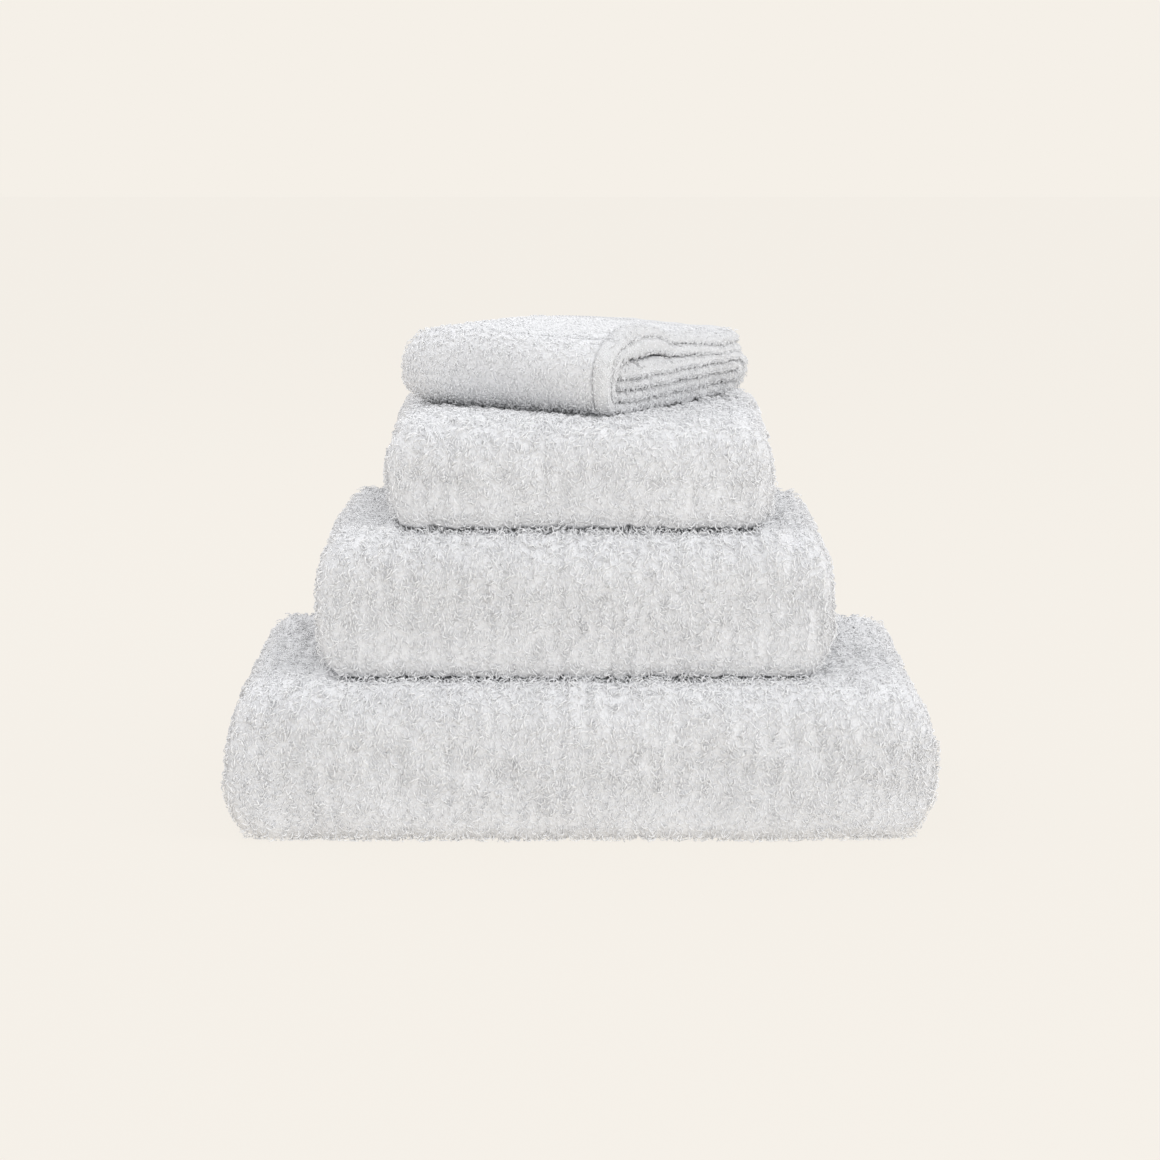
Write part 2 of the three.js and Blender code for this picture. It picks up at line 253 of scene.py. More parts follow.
class Towel:
    """One towel: its cloth, the way it is folded, where it lies and how it settles."""

    hem = HEM_THICKNESS
    ridge_height = 2.7 * MM
    corners = PRESSED_CORNERS
    pile_scale = 1.0
    overhang = 5 * MM  # how far its pile hangs over the towel below

    def __init__(self, name, cloth, side_folds, layers, fold, height, seed, inset, puff):
        self.name = name
        self.width, self.length = cloth
        self.layers = layers
        self.height = height
        gaps = layers * PLY_GAP + (layers - 1) * LAYER_GAP
        self.ply = (height - gaps) / (2 * layers)
        self.strip = 2 * self.ply + PLY_GAP
        self.pitch = self.strip + LAYER_GAP
        self.ground = GROUND_SHARE * self.ply
        self.side_folds = side_folds
        # A round side fold takes up less cloth than a square one would.
        self.half_width = (self.width + side_folds * (2 - math.pi / 2) * self.ply) / 4
        # The fold line's length grows with the depth by one layer's worth for each layer.
        trial = self.length / layers
        self.depth = trial + (self.length - fold(self, trial).length) / layers
        self.along = fold(self, self.depth)
        self.across = self.across_strip()
        self.inset = inset
        self.puff = puff
        self.covered = None
        self.yaw = 0.0
        self.corner = np.zeros(3)
        self.sway = Ripple(seed, SWAY_WAVE)
        self.buckle = Ripple(seed + 1, BUCKLE_WAVE)
        self.clump = Ripple(seed + 2, RIDGE_WAVE, 14)
        self.wave = Ripple(seed + 3, LAYER_WAVE_LENGTH)
        self.seed = seed

    def across_strip(self):
        """The strip's cross-section: folded in half, or with both long edges folded to the middle."""
        bend = (self.ply + PLY_GAP) / 2
        centre = self.half_width - bend - self.ply / 2
        if self.side_folds == 1:
            line = FoldLine(self.half_width, bend, 180).run_to(-centre).bend(bend, 180)
            return line.run_to(self.half_width)
        line = FoldLine(EDGE_GAP / 2, bend, 0).run_to(centre).bend(bend, -180)
        return line.run_to(-centre).bend(bend, -180).run_to(-EDGE_GAP / 2)

    def ridges(self, u, v, w):
        """How far the pile stands out in ridges that run along the cloth, on each of its faces."""
        face = np.sign(w) * np.ones_like(u)
        return self.ridge_height * self.clump(np.stack([u, v / RIDGE_STRETCH, face], axis=-1))

    def folded(self, u, v, w):
        """Where the cloth lies before it settles: x from the towel's middle, y back from its front
        and z up from its underside."""
        x, offset, angle_u = self.across.at(u)
        x = x + w * np.sin(angle_u)
        offset = offset - w * np.cos(angle_u)
        y, z, angle_v = self.along.at(v)
        y = y - offset * np.sin(angle_v)
        z = z + offset * np.cos(angle_v)
        return np.stack([x, y, z], axis=-1)

    def squared(self, y, z):
        """The weight above presses the wrapped front's round corners towards square ones."""
        radius = CORNER_OF_LAYERS[self.layers] * self.pitch + self.strip / 2
        in_front = np.clip(radius - y, 0, None)
        low, high = self.corners
        for power, side, centre in ((low, -1, radius), (high, 1, self.height - radius)):
            outward = np.clip(side * (z - centre), 0, None)
            reach = np.hypot(in_front, outward)
            squared = (in_front**power + outward**power + 1e-30) ** (1 / power)
            grow = np.where((in_front > 0) & (outward > 0), reach / squared - 1, 0)
            y = y - in_front * grow
            z = z + side * outward * grow
        return y, z

    def settled(self, p):
        """What its own weight and the towels above do to it."""
        x = p[..., 0]
        y, z = self.squared(p[..., 1], p[..., 2])
        up = np.clip(z / self.height, 0, 1)
        fold_height = np.abs(2 * up - 1)
        side = np.clip(np.abs(x) / self.half_width, 0, 1)
        middle = 1 - fold_height**2
        back = np.clip(y / self.depth, 0, 1)
        sway = self.sway(p)
        buckle = self.buckle(p)
        new_x = x - np.sign(x) * side * self.inset * fold_height**2.4
        new_x += (SIDE_SWAY * sway + SIDE_BUCKLE * buckle) * side**4
        new_y = y + FRONT_ROUNDING * side**8 * (1 - back)
        in_front = (1 - back) ** 6 * (0.25 + 0.75 * middle)
        new_y += (FRONT_BUCKLE * buckle + FRONT_SWAY * sway) * in_front
        new_y += BACK_BUCKLE * buckle * back**8
        loose = self.looseness(x, y)
        new_z = z + self.puff * loose * up**2 - SHOULDER_DROP * side**7 * up**2
        new_z += HEIGHT_SWAY * sway * middle + TOP_BUCKLE * buckle * loose * up**4
        new_z = pressed(new_z - BOTTOM_PRESS * (1 - up) ** 8)
        to_top = self.height - new_z
        new_z = self.height - loose * to_top - (1 - loose) * pressed(to_top)
        return np.stack([new_x, new_y, new_z], axis=-1)

    def looseness(self, x, y):
        """0 under the towel above, and 1 well clear of it."""
        if self.covered is None:
            return np.ones_like(x)
        centre, half, yaw = self.covered
        dx, dy = x - centre[0], y - centre[1]
        along_x = np.abs(dx * math.cos(yaw) + dy * math.sin(yaw)) - half[0]
        along_y = np.abs(-dx * math.sin(yaw) + dy * math.cos(yaw)) - half[1]
        outside = np.hypot(np.maximum(along_x, 0), np.maximum(along_y, 0))
        return smooth(outside / RISE_WIDTH)

    def in_stack(self, p):
        """From the towel's own frame to the stack's."""
        c, s = math.cos(self.yaw), math.sin(self.yaw)
        x = p[..., 0] * c - p[..., 1] * s
        y = p[..., 0] * s + p[..., 1] * c
        return np.stack([x, y, p[..., 2]], axis=-1) + self.corner

    def place(self, u, v, w):
        """Where a point of the flat cloth ends up in the stack."""
        return self.in_stack(self.settled(self.folded(u, v, w)))


class LooseTowel(Towel):
    """The towel on top: nothing presses on it, so its flap gapes and its open end lifts a little."""

    hem = 7.6 * MM
    ridge_height = 1 * MM
    corners = LOOSE_CORNERS
    pile_scale = 0.7

    def settled(self, p):
        moved = super().settled(p)
        x, y, z = p[..., 0], p[..., 1], p[..., 2]
        to_open_end = smooth((x / self.half_width + 0.2) / 1.2)
        back = np.clip(y / self.depth, 0, 1)
        flap = smooth((z - 1.7 * self.pitch) / (0.6 * self.pitch))
        gape = GAPE * to_open_end**2 * np.exp(-(((back - GAPE_AT) / GAPE_SPREAD) ** 2))
        droop = FLAP_DROOP * smooth((back - 0.6) / 0.4)
        wave = LAYER_WAVE * self.wave(p) * to_open_end**2 * np.clip(z / self.height, 0, 1)
        moved[..., 2] += flap * (gape - droop) + END_LIFT * to_open_end**2 * back + wave
        moved[..., 2] += FOLDED_END_PUFF * (1 - to_open_end) * np.clip(z / self.height, 0, 1) ** 2
        moved[..., 0] += 2 * LAYER_WAVE * self.wave(p[..., ::-1]) * to_open_end**4
        return moved


def rounded_box_depth(towel, y, z):
    """How far a point lies under the towel's rounded front-to-back outline."""
    front = CORNER_OF_LAYERS[towel.layers] * towel.pitch + towel.strip / 2
    back = towel.pitch / 2 + towel.strip / 2
    radius = np.where(y < towel.depth / 2, front, back)
    qy = np.abs(y - towel.depth / 2) - towel.depth / 2 + radius
    qz = np.abs(z - towel.height / 2) - towel.height / 2 + radius
    outside = np.hypot(np.maximum(qy, 0), np.maximum(qz, 0))
    inside = np.minimum(np.maximum(qy, qz), 0)
    return radius - outside - inside


# ------------------------------------------------------------------ meshes


def new_piece(name, vertices, faces, materials, material_index=None):
    mesh = bpy.data.meshes.new(name)
    corners = faces.shape[1]
    mesh.vertices.add(len(vertices))
    mesh.vertices.foreach_set("co", np.ascontiguousarray(vertices, np.float32).ravel())
    mesh.loops.add(faces.size)
    mesh.loops.foreach_set("vertex_index", np.ascontiguousarray(faces, np.int32).ravel())
    mesh.polygons.add(len(faces))
    mesh.polygons.foreach_set("loop_start", np.arange(0, faces.size, corners, dtype=np.int32))
    mesh.polygons.foreach_set("loop_total", np.full(len(faces), corners, np.int32))
    mesh.polygons.foreach_set("use_smooth", np.ones(len(faces), bool))
    if material_index is not None:
        mesh.polygons.foreach_set("material_index", material_index.astype(np.int32))
    for material in materials:
        mesh.materials.append(material)
    mesh.update()
    mesh.validate()
    piece = bpy.data.objects.new(name, mesh)
    bpy.context.collection.objects.link(piece)
    return piece


def spaced(start, end, step, edge):
    """Grid lines from start to end: close together within edge of either end, and step apart between."""
    fine = edge * (1 - np.cos(np.linspace(0, math.pi / 2, 5)))
    count = max(2, int(round((end - start - 2 * edge) / step)))
    middle = np.linspace(start + edge, end - edge, count + 1)
    return np.concatenate([start + fine[:-1], middle, (end - fine[:-1])[::-1]])


def slab(towel, name, u_range, v_range, thickness, step, materials, rough=1.0):
    """A closed sheet over a patch of the cloth, with round edges."""
    edge = thickness / 2
    us = spaced(*u_range, step, edge)
    vs = spaced(*v_range, step, edge)
    u, v = np.meshgrid(us, vs, indexing="ij")
    from_edge_u = np.minimum(u - us[0], us[-1] - u)
    from_edge_v = np.minimum(v - vs[0], vs[-1] - v)
    round_u = np.sqrt(1 - (1 - np.minimum(from_edge_u / edge, 1)) ** 2)
    round_v = np.sqrt(1 - (1 - np.minimum(from_edge_v / edge, 1)) ** 2)
    half = thickness / 2 * round_u * round_v
    nu, nv = u.shape
    swell = rough * round_u * round_v
    top = towel.place(u, v, half + swell * towel.ridges(u, v, 1))
    bottom = towel.place(u, v, -half - swell * towel.ridges(u, v, -1))
    index = np.arange(nu * nv).reshape(nu, nv)
    inner = np.zeros((nu, nv), bool)
    inner[1:-1, 1:-1] = True
    under = index.copy()
    under[inner] = nu * nv + np.arange(inner.sum())
    vertices = np.concatenate([top.reshape(-1, 3), bottom[inner]])

    def quads(grid):
        a, b, c, d = grid[:-1, :-1], grid[1:, :-1], grid[1:, 1:], grid[:-1, 1:]
        return np.stack([a, b, c, d], -1).reshape(-1, 4)

    faces = np.concatenate([quads(index)[:, ::-1], quads(under)])
    return new_piece(name, vertices, faces, materials)


def tubes(name, centres, radii, aside, materials, material_index, sides=3):
    """One closed tube along each row of centres. aside is a direction across each tube."""
    count, rings = centres.shape[:2]
    tangent = np.gradient(centres, axis=1)
    tangent /= np.linalg.norm(tangent, axis=-1, keepdims=True) + 1e-12
    e2 = np.cross(tangent, aside[:, None, :])
    e2 /= np.linalg.norm(e2, axis=-1, keepdims=True) + 1e-12
    e1 = np.cross(e2, tangent)
    angles = np.arange(sides) * 2 * math.pi / sides
    ring = e1[:, :, None, :] * np.cos(angles)[None, None, :, None]
    ring = ring + e2[:, :, None, :] * np.sin(angles)[None, None, :, None]
    points = centres[:, :, None, :] + ring * radii[..., None, None]
    index = np.arange(count * rings * sides).reshape(count, rings, sides)
    turned = np.roll(index, -1, axis=2)
    walls = np.stack([index[:, :-1], turned[:, :-1], turned[:, 1:], index[:, 1:]], -1)
    walls = walls.reshape(count, -1, 4)
    triangles = np.concatenate([walls[..., [0, 1, 2]], walls[..., [0, 2, 3]]], axis=1)
    if sides == 3:
        caps = np.stack([index[:, 0, ::-1], index[:, -1]], axis=1)
    else:
        first, last = index[:, 0], index[:, -1]
        caps = np.stack(
            [first[:, [0, 2, 1]], first[:, [0, 3, 2]], last[:, [0, 1, 2]], last[:, [0, 2, 3]]],
            axis=1,
        )
    triangles = np.concatenate([triangles, caps], axis=1)
    chosen = np.repeat(material_index, triangles.shape[1])
    return new_piece(name, points.reshape(-1, 3), triangles.reshape(-1, 3), materials, chosen)


# ------------------------------------------------------------------ materials


def principled(name, colour, roughness, sheen=0.0):
    material = bpy.data.materials.new(name)
    material.use_nodes = True
    shader = material.node_tree.nodes["Principled BSDF"]
    shader.inputs["Base Color"].default_value = (*colour, 1)
    shader.inputs["Roughness"].default_value = roughness
    shader.inputs["Sheen Weight"].default_value = sheen
    shader.inputs["Sheen Roughness"].default_value = 0.5
    shader.inputs["Specular IOR Level"].default_value = 0.25
    return material, shader


def node(material, kind, **inputs):
    made = material.node_tree.nodes.new(kind)
    for key, value in inputs.items():
        made.inputs[key].default_value = value
    return made


def uneven_cotton(name, colour, low, high, roughness, sheen, cell, cloud, strength, relief):
    """Cotton whose white drifts slowly between low and high, under small loops or ribs of yarn."""
    material, shader = principled(name, colour, roughness, sheen)
    tree = material.node_tree
    place = tree.nodes.new("ShaderNodeTexCoord")
    cells = node(material, "ShaderNodeTexVoronoi", Scale=cell)
    clouds = node(material, "ShaderNodeTexNoise", Scale=cloud, Detail=3.0)
    mix = tree.nodes.new("ShaderNodeMix")
    mix.data_type = "RGBA"
    mix.inputs[6].default_value = (*low, 1)
    mix.inputs[7].default_value = (*high, 1)
    bump = node(material, "ShaderNodeBump", Strength=strength, Distance=relief)
    tree.links.new(place.outputs["Object"], cells.inputs["Vector"])
    tree.links.new(place.outputs["Object"], clouds.inputs["Vector"])
    tree.links.new(clouds.outputs["Fac"], mix.inputs[0])
    tree.links.new(mix.outputs[2], shader.inputs["Base Color"])
    tree.links.new(cells.outputs["Distance"], bump.inputs["Height"])
    tree.links.new(bump.outputs["Normal"], shader.inputs["Normal"])
    return material


def terry_ground():
    """The looped ground of the cloth, between and under the pile."""
    return uneven_cotton(
        "terry_ground",
        colour=(0.86, 0.86, 0.87),
        low=(0.80, 0.80, 0.815),
        high=(0.90, 0.90, 0.905),
        roughness=0.95,
        sheen=0.3,
        cell=420.0,
        cloud=35.0,
        strength=0.8,
        relief=1.5 * MM,
    )


def hem_weave():
    """Flat-woven cotton: fine ribs of yarn, with a slight unevenness."""
    return uneven_cotton(
        "hem_weave",
        colour=(0.82, 0.82, 0.82),
        low=(0.76, 0.76, 0.765),
        high=(0.84, 0.84, 0.845),
        roughness=0.9,
        sheen=0.1,
        cell=900.0,
        cloud=60.0,
        strength=0.9,
        relief=1 * MM,
    )


GROUND = terry_ground()
HEM = hem_weave()
THREAD = principled("sewing_thread", (0.78, 0.78, 0.79), 0.6, 0.1)[0]
YARNS = [
    principled("pile_yarn_bright", (0.95, 0.95, 0.955), 0.9, 0.25)[0],
    principled("pile_yarn_cool", (0.905, 0.905, 0.91), 0.9, 0.25)[0],
    principled("pile_yarn_soft", (0.86, 0.86, 0.87), 0.9, 0.25)[0],
]

# ------------------------------------------------------------------ pile

PILE_SPACING = 2.5 * MM
TUFTS_IN_PIECE = 7500
YARN = 0.95 * MM
FUZZ_YARN = 0.7 * MM
FUZZ_SPACING = 1.7 * MM
FUZZ_SIZE = (2.4 * MM, 1.0 * MM)
PILE_SIZE = {
    "front": (5.0 * MM, 2.6 * MM),
    "top": (4.2 * MM, 1.6 * MM),
    "left": (4.6 * MM, 2.1 * MM),
    "right": (4.6 * MM, 2.1 * MM),
    "back": (4.6 * MM, 2.6 * MM),
    "under": (5.0 * MM, 2.6 * MM),
    "inside": (4.0 * MM, 2.4 * MM),
}  # the length and height of a loop
LOOP_RADII = (0.7, 1.0, 1.05, 0.9, 0.6)  # along a loop, against its middle
LOOP_ROOT = 0.7 * MM  # how deep in the cloth a loop starts
LOOP_CURL = 2.6  # how far round a loop swings, in radians
LEAN_DOWN = 1.1
LEAN_ANY_WAY = 1.1
LEAN_FORWARD = 1.2  # only for loops that face down
STEEP_ORDER = 0.5  # how much less a loop on a steep face leans at random
YARN_SHARES = (0.5, 0.3, 0.2)

# How far in from its sides the pile of a folded towel can be seen.
SIDE_PILE = 8 * MM
OPEN_SIDE_PILE = 9 * MM
BACK_PILE = 13 * MM
UNDER_SIDE_PILE = 22 * MM
UNDER_FRONT_PILE = 60 * MM
UNDER_PILE_TOP = 12 * MM
OUTER_SKIN = 1.6 * MM


def basis(towel, u, v, w):
    """The point of the cloth and its outward normal there, in the stack."""
    step = 0.3 * MM
    here = towel.place(u, v, w)
    normal = towel.place(u, v, w + np.sign(w) * step) - here
    normal /= np.linalg.norm(normal, axis=-1, keepdims=True) + 1e-12
    return here, normal


def scatter(towel, u_range, v_range, rng):
    """Loop roots over both faces of a patch of the cloth, one to each cell of a jittered grid."""
    us = np.arange(u_range[0], u_range[1], PILE_SPACING)
    vs = np.arange(v_range[0], v_range[1], PILE_SPACING)
    u, v = (grid.ravel() for grid in np.meshgrid(us, vs, indexing="ij"))
    u = np.concatenate([u, u])
    v = np.concatenate([v, v])
    w = np.repeat([towel.ground / 2, -towel.ground / 2], len(u) // 2)
    u = np.clip(u + rng.uniform(0, PILE_SPACING, u.shape), *u_range)
    v = np.clip(v + rng.uniform(0, PILE_SPACING, v.shape), *v_range)
    return u, v, w


def regions(towel, u, v, w, shown_inside):
    """Which side of the folded towel each loop is seen from, and an empty name where it is hidden."""
    flat = towel.folded(u, v, w)
    x, y, z = flat[:, 0], flat[:, 1], flat[:, 2]
    beyond = towel.folded(u, v, w * 1.3)
    normal = beyond - flat
    normal /= np.linalg.norm(normal, axis=-1, keepdims=True) + 1e-12
    depth = rounded_box_depth(towel, y, z)
    outer = depth < (towel.ply - towel.ground) / 2 + OUTER_SKIN
    facing_up = normal[:, 2] > 0.4
    facing_down = normal[:, 2] < -0.4
    name = np.full(len(u), "", dtype="U8")
    open_right = towel.side_folds == 1
    from_right = SIDE_HEM + OPEN_SIDE_PILE if open_right else SIDE_PILE
    name[x > towel.half_width - from_right] = "right"
    name[y > towel.depth - BACK_PILE] = "back"
    name[x < -towel.half_width + SIDE_PILE] = "left"
    name[outer & facing_up] = "top"
    name[outer & (y < towel.depth / 2) & (normal[:, 1] < -0.25)] = "front"
    name[outer & facing_down & (y > towel.depth / 2)] = ""
    near_edge = (np.abs(x) > towel.half_width - UNDER_SIDE_PILE) | (y < UNDER_FRONT_PILE)
    low = near_edge & (z < UNDER_PILE_TOP)
    name[outer & facing_down & low & (name != "front")] = "under"
    if shown_inside is not None:
        name[(name == "") & shown_inside(normal, z)] = "inside"
    return name


def pile_piece(name, root, normal, rng, length, height, thickness, lowest):
    """Curled loops of yarn that lean down the cloth but not below a lowest height, as one piece."""
    count = len(root)
    down = np.array([0.0, 0.0, -1.0]) - normal * (-normal[:, 2:3])
    steep = np.linalg.norm(down, axis=1, keepdims=True)
    random = rng.normal(size=(count, 3))
    random -= normal * np.sum(random * normal, axis=1, keepdims=True)
    random /= np.linalg.norm(random, axis=1, keepdims=True) + 1e-12
    forward = np.zeros_like(normal)
    forward[:, 1] = np.minimum(normal[:, 2], 0)
    lean = down * LEAN_DOWN + random * (LEAN_ANY_WAY - STEEP_ORDER * steep)
    lean += LEAN_FORWARD * forward
    lean /= np.linalg.norm(lean, axis=1, keepdims=True) + 1e-12
    cross = np.cross(normal, lean)

    t = np.linspace(0, 1, len(LOOP_RADII))[None, :, None]
    reach = (length * rng.uniform(0.6, 1.35, count))[:, None, None]
    rise = (height * rng.uniform(0.65, 1.3, count))[:, None, None]
    swing = (length * rng.uniform(-0.55, 0.55, count))[:, None, None]
    twist = rng.uniform(0, 2 * math.pi, count)[:, None, None]
    centres = root[:, None, :] - normal[:, None, :] * LOOP_ROOT
    centres = centres + lean[:, None, :] * reach * t
    centres = centres + normal[:, None, :] * rise * np.sin(math.pi * t**0.8)
    curl = np.sin(LOOP_CURL * t + twist) - np.sin(twist)
    centres = centres + cross[:, None, :] * swing * curl
    centres[..., 2] = np.maximum(centres[..., 2], lowest + thickness / 2)
    thick = (thickness * rng.uniform(0.4, 0.6, count))[:, None]
    radii = thick * np.array(LOOP_RADII)[None, :]
    shade = rng.choice(len(YARNS), count, p=YARN_SHARES)
    return tubes(name, centres, radii, cross, YARNS, shade)


def make_pile(towel, prefix, u_range, v_range, shown_inside=None):
    """All the pile of a stretch of cloth, in pieces by the side that it is seen from."""
    rng = np.random.default_rng(towel.seed * 7 + int(v_range[0] * 1000))
    u, v, w = scatter(towel, u_range, v_range, rng)
    name = regions(towel, u, v, w, shown_inside)
    pieces = []
    for region in PILE_SIZE:
        chosen = np.flatnonzero(name == region)
        if len(chosen) == 0:
            continue
        length, height = PILE_SIZE[region]
        length *= towel.pile_scale
        height *= towel.pile_scale
        chosen = chosen[np.argsort(u[chosen], kind="stable")]
        parts = math.ceil(len(chosen) / TUFTS_IN_PIECE)
        for number, part in enumerate(np.array_split(chosen, parts), 1):
            label = f"{prefix}_pile_{region}_{number}"
            ridge = towel.ridges(u[part], v[part], w[part])
            root, normal = basis(towel, u[part], v[part], w[part] + np.sign(w[part]) * ridge)
            lowest = towel.corner[2] - towel.overhang
            size = (length, height, YARN)
            pieces.append(pile_piece(label, root, normal, rng, *size, lowest))
    return pieces


def hem_fuzz(towel, name, u_edge, into, v_range):
    """Short worn loops over the raw-looking outer edge and both faces of a side hem."""
    rng = np.random.default_rng(towel.seed + int(v_range[0] * 1000) + 80)
    around = SIDE_HEM + towel.hem / 2
    rows = int(around / FUZZ_SPACING)
    columns = int((v_range[1] - v_range[0]) / FUZZ_SPACING)
    count = 2 * rows * columns
    t = rng.uniform(0, around, count)
    v = rng.uniform(v_range[0] + MM, v_range[1] - MM, count)
    face = rng.choice([-1.0, 1.0], count)
    on_edge = t < towel.hem / 2
    inward = np.where(on_edge, 0.3 * MM, t - towel.hem / 2 + 0.3 * MM)
    u = u_edge + into * inward
    rounded = np.sqrt(1 - (1 - np.clip(inward / (towel.hem / 2), 0, 1)) ** 2)
    w = face * np.where(on_edge, t * 0.8, rounded * towel.hem / 2)
    root, normal = basis(towel, u, v, w)
    edge_normal = root - towel.place(u + into * 0.3 * MM, v, w)
    edge_normal /= np.linalg.norm(edge_normal, axis=1, keepdims=True)
    normal = np.where(on_edge[:, None], edge_normal, normal)
    return pile_piece(name, root, normal, rng, *FUZZ_SIZE, FUZZ_YARN, towel.corner[2])


# ------------------------------------------------------------------ hems


STITCH_PITCH = 3.3 * MM
STITCH_SHARE = 0.66  # of the pitch; the rest is the gap between two stitches
STITCH_DIP = 0.5 * MM
STITCH_RISE = 0.12 * MM
THREAD_RADIUS = 0.33 * MM
SIDE_SEAM = 0.78  # where a side hem is sewn, as a share of its width from the edge
END_SEAM = 0.85
SIDE_HEM_STEP = 4 * MM
END_HEM_STEP = 5 * MM
HEM_ROUGHNESS = 0.4  # how much of the pile's ridges shows through a hem


def stitches(towel, name, u, v, rng):
    """A row of stitches on both faces of a hem, along v at u, or along u at v."""
    along_v = np.ndim(v) == 1
    place = v if along_v else u
    starts = np.arange(place[0] + STITCH_PITCH, place[1] - STITCH_PITCH, STITCH_PITCH)
    t = np.linspace(0, STITCH_SHARE * STITCH_PITCH, 4)
    run = starts[:, None] + t[None, :]
    rise = (towel.hem / 2) * np.ones_like(run)
    rise[:, 0] -= STITCH_DIP
    rise[:, -1] -= STITCH_DIP
    sets = []
    for side in (1, -1):
        lift = side * (rise + STITCH_RISE)
        if along_v:
            sets.append(towel.place(np.full_like(run, u), run, lift))
        else:
            sets.append(towel.place(run, np.full_like(run, v), lift))
    centres = np.concatenate(sets)
    tangent = centres[:, -1] - centres[:, 0]
    aside = np.cross(tangent, rng.normal(size=tangent.shape))
    aside /= np.linalg.norm(aside, axis=1, keepdims=True) + 1e-12
    radii = np.full(centres.shape[:2], THREAD_RADIUS)
    return tubes(name, centres, radii, aside, [THREAD], np.zeros(len(centres), int), sides=4)


def side_hems(towel, prefix, v_range):
    """The two long hems and their stitching, from one end of a stretch of cloth to the other."""
    total = towel.across.length
    rng = np.random.default_rng(towel.seed + 50)
    made = []
    for letter, start in (("a", 0.0), ("b", total - SIDE_HEM)):
        hem = slab(
            towel,
            f"{prefix}_side_hem_{letter}_weave",
            (start, start + SIDE_HEM),
            v_range,
            towel.hem,
            SIDE_HEM_STEP,
            [HEM],
            rough=HEM_ROUGHNESS,
        )
        inner = start + (SIDE_SEAM if letter == "a" else 1 - SIDE_SEAM) * SIDE_HEM
        thread = stitches(towel, f"{prefix}_side_hem_{letter}_stitches", inner, v_range, rng)
        made.append((hem, thread))
    return made


def end_hem(towel, name, v_range, sewn_at):
    """The hem across one end of the cloth, and its stitching."""
    rng = np.random.default_rng(towel.seed + 60)
    total = towel.across.length
    hem = slab(
        towel,
        f"{name}_weave",
        (0.0, total),
        v_range,
        towel.hem,
        END_HEM_STEP,
        [HEM],
        rough=HEM_ROUGHNESS,
    )
    thread = stitches(towel, f"{name}_stitches", (0.0, total), sewn_at, rng)
    return hem, thread


# ------------------------------------------------------------------ whole towels

CLOTH_STEP = 6 * MM


def finish_piece(piece, body, replaced=None):
    """Parents a piece to its body; when it is given several bodies, it only bakes the piece's transform
    in place. Hides the CAD node that it replaces.
    """
    if isinstance(body, str):
        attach(piece, body)
    else:
        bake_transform(piece)
    if replaced:
        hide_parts(replaced)


def cloth_part(towel, prefix, body, v_range, ends, nodes=True, shown_inside=None):
    """A stretch of the towel's cloth with its pile and hems. ends gives the end hems at its two ends."""
    total = towel.across.length
    inner_u = (SIDE_HEM + HEM_GAP, total - SIDE_HEM - HEM_GAP)
    start, stop = v_range
    if ends[0]:
        start += END_HEM + HEM_GAP
    if ends[1]:
        stop -= END_HEM + HEM_GAP
    cloth = slab(
        towel,
        f"{prefix}_ground_cloth",
        inner_u,
        (start, stop),
        towel.ground,
        CLOTH_STEP,
        [GROUND],
    )
    finish_piece(cloth, body, f"{prefix}_cloth" if nodes else None)
    pile = make_pile(towel, prefix, inner_u, (start, stop), shown_inside)
    for piece in pile:
        finish_piece(piece, body)
    trims = []
    for letter, (hem, thread) in zip("ab", side_hems(towel, prefix, (start, stop))):
        finish_piece(hem, body, f"{prefix}_side_hem_{letter}" if nodes else None)
        finish_piece(thread, body)
        trims += [hem, thread]
        if towel.side_folds == 1:
            u_edge, into = (0.0, 1) if letter == "a" else (total, -1)
            label = f"{prefix}_side_hem_{letter}_fuzz"
            fuzz = hem_fuzz(towel, label, u_edge, into, v_range)
            finish_piece(fuzz, body)
            trims.append(fuzz)
    for node_name, at_start in ((ends[0], True), (ends[1], False)):
        if not node_name:
            continue
        low, high = v_range
        hem_range = (low, low + END_HEM) if at_start else (high - END_HEM, high)
        from_end = END_SEAM * END_HEM
        sewn_at = low + from_end if at_start else high - from_end
        hem, thread = end_hem(towel, node_name, hem_range, sewn_at)
        finish_piece(hem, body, node_name)
        finish_piece(thread, body)
        trims += [hem, thread]
    return cloth


def node_low(name):
    return np.array(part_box(name)[0])


def node_high(name):
    return np.array(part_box(name)[1])


def height_of(name):
    return float(node_high(name)[2] - node_low(name)[2])


def lay(towel, node_name):
    """Puts a towel that isn't turned where its CAD cloth lies."""
    low = node_low(node_name)
    towel.corner = np.array([low[0] + towel.half_width, low[1], low[2]])


def whole_towel(name, cloth, layers, fold, seed, inset, puff):
    """A towel with both long edges folded to the middle, as high as its CAD cloth. Its sides draw in
    by inset at the top and bottom, and its top swells by puff where nothing lies on it."""
    height = height_of(f"{name}_cloth")
    return Towel(name, cloth, 2, layers, fold, height, seed, inset, puff)


bath_sheet = whole_towel("bath_sheet", (0.990, 1.72), 6, thirds_then_half, 11, 17 * MM, 5 * MM)
bath_towel = whole_towel("bath_towel", (0.730, 1.44), 6, thirds_then_half, 23, 14 * MM, 5 * MM)
hand_towel = whole_towel("hand_towel", (0.546, 0.95), 4, half_twice, 37, 8 * MM, 2 * MM)
bath_sheet.overhang = 0.0  # it lies on the floor
guest_height = float(
    node_high("guest_towel_flap_cloth")[2] - node_low("guest_towel_base_cloth")[2]
)
guest_towel = LooseTowel(
    "guest_towel", (0.37, 0.55), 1, 3, tucked_thirds, guest_height, 41, 5 * MM, 0.0
)

lay(bath_sheet, "bath_sheet_cloth")
lay(bath_towel, "bath_towel_cloth")
lay(hand_towel, "hand_towel_cloth")

